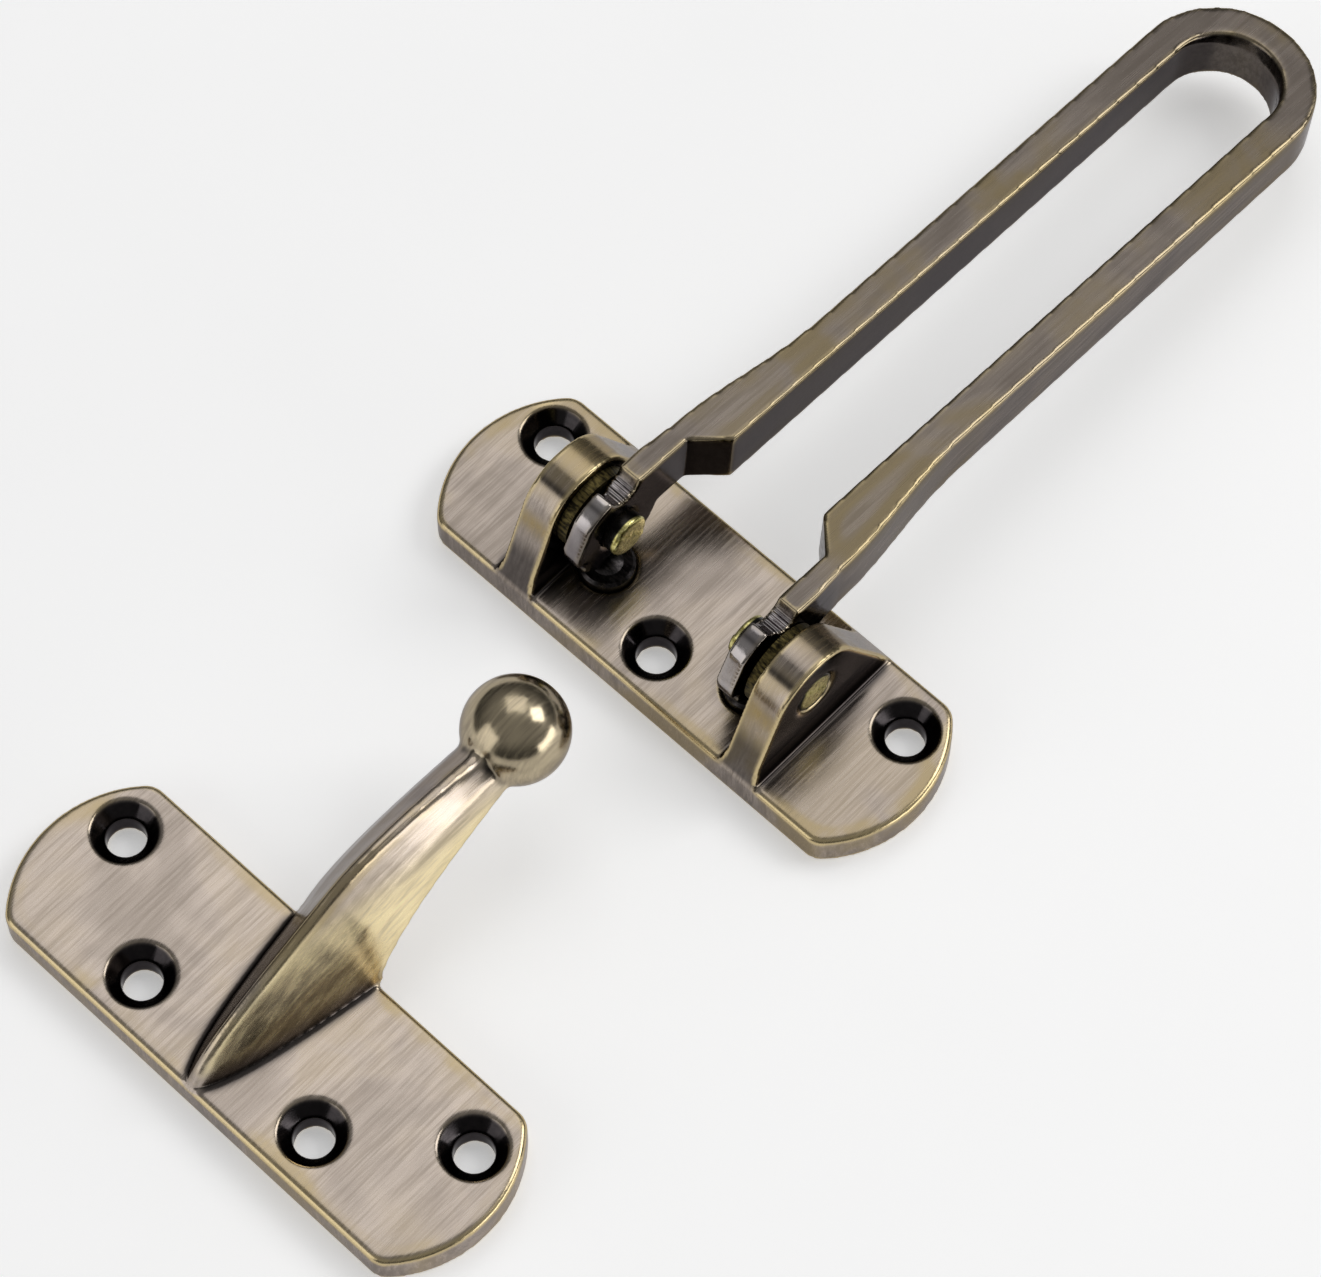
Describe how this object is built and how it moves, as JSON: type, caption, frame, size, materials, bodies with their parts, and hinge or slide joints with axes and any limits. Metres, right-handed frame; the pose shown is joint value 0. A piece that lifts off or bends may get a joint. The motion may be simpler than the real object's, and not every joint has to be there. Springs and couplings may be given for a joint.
{
  "type": "swing bar door guard",
  "caption": "Swing-bar door guard: a slotted loop hinged between lugs on one screw plate folds over a ball on a curved arm from the other plate.",
  "frame": {"origin": "centre of the hinge plate's back face", "axes": "+X along the hinge plate, +Y the way the folded-back bar points, +Z away from the door"},
  "size_m": [0.0772, 0.204, 0.0257],
  "materials": {
    "hinge_casting": "brushed antique brass, darkened in the recesses and worn bright on the edges",
    "bar_casting": "antique brass brushed along the bar, worn bright on the edges",
    "keeper_casting": "antique brass, brushed plate, glossy dark and gold ball",
    "pin_gold": "yellow zinc plated steel",
    "washer_gold": "plain brass, edge visible in the hinge gap",
    "dark_steel": "oil-blackened steel",
    "spring_steel": "bare spring wire"
  },
  "bodies": {
    "hinge_half": {"bar_plate": "hinge_casting", "hinge_pin_left": "pin_gold", "hinge_pin_right": "pin_gold", "washer_left": "washer_gold", "washer_right": "washer_gold", "detent_spring_left": "spring_steel", "detent_spring_right": "spring_steel"},
    "bar": {"swing_bar": "bar_casting"},
    "plunger_left": {"detent_plunger_left": "dark_steel"},
    "plunger_right": {"detent_plunger_right": "dark_steel"},
    "keeper": {"keeper_plate": "keeper_casting"}
  },
  "joints": [
    {"name": "bar_swing", "type": "hinge", "parent": "hinge_half", "child": "bar", "pos_m": [0, -0.00105, 0.0146], "axis": [1, 0, 0], "range_deg": [0, 180]},
    {"name": "plunger_left_travel", "type": "slide", "parent": "hinge_half", "child": "plunger_left", "axis": [0, 0, 1], "range_m": [0, 0.0007], "deforming": ["detent_spring_left"]},
    {"name": "plunger_right_travel", "type": "slide", "parent": "hinge_half", "child": "plunger_right", "axis": [0, 0, 1], "range_m": [0, 0.0007], "deforming": ["detent_spring_right"]},
    {"name": "door_travel", "type": "slide", "parent": "hinge_half", "child": "keeper", "axis": [0, 1, 0], "range_m": [-0.03, 0.022]}
  ]
}
